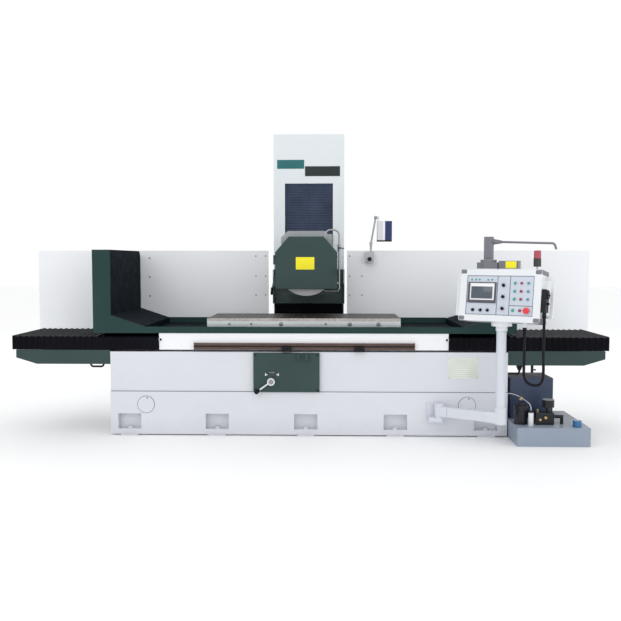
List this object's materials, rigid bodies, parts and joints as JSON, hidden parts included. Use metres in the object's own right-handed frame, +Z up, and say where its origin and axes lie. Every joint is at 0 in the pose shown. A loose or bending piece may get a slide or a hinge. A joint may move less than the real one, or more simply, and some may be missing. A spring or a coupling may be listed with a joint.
{
  "type": "surface grinder",
  "caption": "Column-moving surface grinder with a long hydraulic table, magnetic chuck, splash tray, way bellows, guarded wheelhead and a swinging control pendant",
  "frame": {"origin": "middle of the front bed's footprint, on the floor", "axes": "+X to the operator's right along the table's travel, +Y to the back of the machine, +Z up"},
  "size_m": [5.226, 3.2421, 2.693],
  "materials": {
    "bed_paint": "fine hammer paint, off-white",
    "column_paint": "smooth off-white paint",
    "table_paint": "off-white paint over cast iron",
    "sheet_white": "white powder coat",
    "sheet_green": "dark green paint, satin",
    "head_paint": "grey paint over cast iron",
    "machine_steel": "turned steel",
    "ground_steel": "ground steel",
    "chuck_steel": "ground steel with brass pole lines",
    "rail_steel": "brown blued steel",
    "black_steel": "black oxide",
    "bellows_fabric": "coated bellows cloth",
    "lever_steel": "turned steel with black ball",
    "tank_paint": "grey-blue paint",
    "pump_black": "black enamel",
    "cap_blue": "blue moulded plastic",
    "nylon_tube": "clear nylon",
    "cable_black": "black ribbed cord",
    "arm_white": "white powder coat",
    "pendant_white": "white powder coat",
    "panel_silver": "brushed anodised",
    "hand_black": "moulded black",
    "hanger_grey": "grey paint",
    "lamp_red": "red lens on black base",
    "abrasive": "vitrified abrasive",
    "pipe_steel": "plated pipe",
    "valve_red": "dipped grip",
    "lamp_arm_steel": "plated rod",
    "lamp_body": "anodised housing",
    "knob_black": "moulded black",
    "button_green": "green lens",
    "button_red": "red lens",
    "estop_red": "red mushroom"
  },
  "bodies": {
    "bed": {"bed_casting": "bed_paint", "leveling_feet": "machine_steel", "way_brackets": "sheet_green", "rear_guard_left": "sheet_white", "rear_guard_right": "sheet_white", "valve_cover": "sheet_green", "limit_switches": "black_steel", "table_cylinder": "machine_steel", "table_bellows_left": "bellows_fabric", "table_bellows_right": "bellows_fabric", "cross_bellows": "bellows_fabric", "oil_tank": "tank_paint", "pump_unit": "pump_black", "drain_pipes": "black_steel", "lube_tube": "nylon_tube", "pendant_bracket": "arm_white"},
    "reversing_lever": {"reversing_lever": "lever_steel"},
    "filler_cap": {"filler_cap": "cap_blue"},
    "table": {"table_casting": "table_paint", "magnetic_chuck": "chuck_steel", "splash_tray": "sheet_green", "trip_rail": "rail_steel", "trip_dogs": "black_steel", "piston_rod": "machine_steel"},
    "column": {"column_casting": "column_paint", "column_hood": "sheet_white", "head_bellows": "bellows_fabric"},
    "lift_screw": {"lift_screw": "ground_steel"},
    "wheelhead": {"wheelhead_body": "head_paint", "wheel_guard": "sheet_green", "spindle_motor": "machine_steel", "coolant_line": "pipe_steel"},
    "spindle": {"spindle_shaft": "ground_steel", "grinding_wheel": "abrasive"},
    "guard_door": {"guard_door": "sheet_green"},
    "coolant_valve": {"coolant_valve_lever": "valve_red"},
    "lamp_arm": {"lamp_arm": "lamp_arm_steel"},
    "lamp_head": {"lamp_head": "lamp_body"},
    "pendant_arm": {"pendant_arm": "arm_white"},
    "pendant": {"pendant_box": "pendant_white", "panel_face": "panel_silver", "hand_unit": "hand_black", "signal_lamp": "lamp_red", "pendant_cable": "cable_black"},
    "hanger_arm": {"hanger_arm": "hanger_grey"},
    "selector_switch_1": {"selector_switch_1": "knob_black"},
    "selector_switch_2": {"selector_switch_2": "knob_black"},
    "selector_switch_3": {"selector_switch_3": "knob_black"},
    "speed_knob_1": {"speed_knob_1": "knob_black"},
    "speed_knob_2": {"speed_knob_2": "knob_black"},
    "speed_knob_3": {"speed_knob_3": "knob_black"},
    "hydraulic_start_button": {"hydraulic_start_button": "button_green"},
    "hydraulic_stop_button": {"hydraulic_stop_button": "button_red"},
    "wheel_start_button": {"wheel_start_button": "button_green"},
    "wheel_stop_button": {"wheel_stop_button": "button_red"},
    "coolant_start_button": {"coolant_start_button": "button_green"},
    "coolant_stop_button": {"coolant_stop_button": "button_red"},
    "cycle_start_button": {"cycle_start_button": "button_green"},
    "cycle_stop_button": {"cycle_stop_button": "button_red"},
    "emergency_stop": {"emergency_stop": "estop_red"}
  },
  "joints": [
    {"name": "table_slide", "type": "slide", "parent": "bed", "child": "table", "axis": [1, 0, 0], "range_m": [-0.85, 0.85], "deforming": ["table_bellows_left", "table_bellows_right"]},
    {"name": "reversing_lever_turn", "type": "hinge", "parent": "bed", "child": "reversing_lever", "pos_m": [-0.295, -0.55, 0.456], "axis": [0, -1, 0], "range_deg": [-30, 30]},
    {"name": "filler_cap_lift", "type": "slide", "parent": "bed", "child": "filler_cap", "axis": [0, 0, 1], "range_m": [0, 0.05]},
    {"name": "column_slide", "type": "slide", "parent": "bed", "child": "column", "axis": [0, 1, 0], "range_m": [-0.33, 0.33], "deforming": ["cross_bellows"]},
    {"name": "head_slide", "type": "slide", "parent": "column", "child": "wheelhead", "axis": [0, 0, 1], "range_m": [-0.165, 0.38], "deforming": ["head_bellows"]},
    {"name": "lift_screw_turn", "type": "hinge", "parent": "column", "child": "lift_screw", "pos_m": [-0.035, 1.58, 1.4], "axis": [0, 0, 1], "range_deg": [-5945, 13685]},
    {"name": "spindle_turn", "type": "hinge", "parent": "wheelhead", "child": "spindle", "pos_m": [-0.03, 0.1, 1.374], "axis": [0, 1, 0], "continuous": true},
    {"name": "guard_door_hinge", "type": "hinge", "parent": "wheelhead", "child": "guard_door", "pos_m": [-0.311, 0.027, 1.4], "axis": [0, 0, -1], "range_deg": [0, 110]},
    {"name": "coolant_valve_turn", "type": "hinge", "parent": "wheelhead", "child": "coolant_valve", "pos_m": [0.26, 0.07, 1.545], "axis": [0, 1, 0], "range_deg": [0, 90]},
    {"name": "lamp_arm_pivot", "type": "hinge", "parent": "bed", "child": "lamp_arm", "pos_m": [0.562, 0.545, 1.595], "axis": [0, 1, 0], "range_deg": [-35, 15]},
    {"name": "lamp_head_tilt", "type": "hinge", "parent": "lamp_arm", "child": "lamp_head", "pos_m": [0.605, 0.545, 1.838], "axis": [1, 0, 0], "range_deg": [-30, 12]},
    {"name": "pendant_arm_swing", "type": "hinge", "parent": "bed", "child": "pendant_arm", "pos_m": [1.061, -0.56, 0.22], "axis": [0, 0, 1], "range_deg": [-55, 8]},
    {"name": "pendant_swivel", "type": "hinge", "parent": "pendant_arm", "child": "pendant", "pos_m": [1.492, -0.82, 0.92], "axis": [0, 0, 1], "range_deg": [-35, 32]},
    {"name": "hanger_swing", "type": "hinge", "parent": "pendant", "child": "hanger_arm", "pos_m": [1.40159, -0.7448, 1.5], "axis": [0, 0, 1], "range_deg": [-60, 90]},
    {"name": "selector_switch_1_turn", "type": "hinge", "parent": "pendant", "child": "selector_switch_1", "pos_m": [1.27268, -0.80579, 1.05894], "axis": [-0.5248, -0.8398, 0.1392], "range_deg": [-45, 45]},
    {"name": "selector_switch_2_turn", "type": "hinge", "parent": "pendant", "child": "selector_switch_2", "pos_m": [1.32441, -0.83812, 1.05894], "axis": [-0.5248, -0.8398, 0.1392], "range_deg": [-45, 45]},
    {"name": "selector_switch_3_turn", "type": "hinge", "parent": "pendant", "child": "selector_switch_3", "pos_m": [1.3719, -0.86779, 1.05894], "axis": [-0.5248, -0.8398, 0.1392], "range_deg": [-45, 45]},
    {"name": "speed_knob_1_turn", "type": "hinge", "parent": "pendant", "child": "speed_knob_1", "pos_m": [1.48352, -0.90619, 1.24808], "axis": [-0.5248, -0.8398, 0.1392], "range_deg": [-135, 135]},
    {"name": "speed_knob_2_turn", "type": "hinge", "parent": "pendant", "child": "speed_knob_2", "pos_m": [1.47717, -0.91634, 1.16292], "axis": [-0.5248, -0.8398, 0.1392], "range_deg": [-135, 135]},
    {"name": "speed_knob_3_turn", "type": "hinge", "parent": "pendant", "child": "speed_knob_3", "pos_m": [1.47061, -0.92685, 1.07478], "axis": [-0.5248, -0.8398, 0.1392], "range_deg": [-135, 135]},
    {"name": "hydraulic_start_button_press", "type": "slide", "parent": "pendant", "child": "hydraulic_start_button", "axis": [0.5248, 0.8398, -0.1392], "range_m": [0, 0.004], "stiffness_N_per_m": 400, "springref_m": -0.001},
    {"name": "hydraulic_stop_button_press", "type": "slide", "parent": "pendant", "child": "hydraulic_stop_button", "axis": [0.5248, 0.8398, -0.1392], "range_m": [0, 0.004], "stiffness_N_per_m": 400, "springref_m": -0.001},
    {"name": "wheel_start_button_press", "type": "slide", "parent": "pendant", "child": "wheel_start_button", "axis": [0.5248, 0.8398, -0.1392], "range_m": [0, 0.004], "stiffness_N_per_m": 400, "springref_m": -0.001},
    {"name": "wheel_stop_button_press", "type": "slide", "parent": "pendant", "child": "wheel_stop_button", "axis": [0.5248, 0.8398, -0.1392], "range_m": [0, 0.004], "stiffness_N_per_m": 400, "springref_m": -0.001},
    {"name": "coolant_start_button_press", "type": "slide", "parent": "pendant", "child": "coolant_start_button", "axis": [0.5248, 0.8398, -0.1392], "range_m": [0, 0.004], "stiffness_N_per_m": 400, "springref_m": -0.001},
    {"name": "coolant_stop_button_press", "type": "slide", "parent": "pendant", "child": "coolant_stop_button", "axis": [0.5248, 0.8398, -0.1392], "range_m": [0, 0.004], "stiffness_N_per_m": 400, "springref_m": -0.001},
    {"name": "cycle_start_button_press", "type": "slide", "parent": "pendant", "child": "cycle_start_button", "axis": [0.5248, 0.8398, -0.1392], "range_m": [0, 0.004], "stiffness_N_per_m": 400, "springref_m": -0.001},
    {"name": "cycle_stop_button_press", "type": "slide", "parent": "pendant", "child": "cycle_stop_button", "axis": [0.5248, 0.8398, -0.1392], "range_m": [0, 0.004], "stiffness_N_per_m": 400, "springref_m": -0.001},
    {"name": "emergency_stop_press", "type": "slide", "parent": "pendant", "child": "emergency_stop", "axis": [0.5248, 0.8398, -0.1392], "range_m": [0, 0.006], "stiffness_N_per_m": 600, "springref_m": -0.001}
  ],
  "couplings": [
    {"joint": "lift_screw_turn", "follows": "head_slide", "rad_per_m": 628.32}
  ]
}
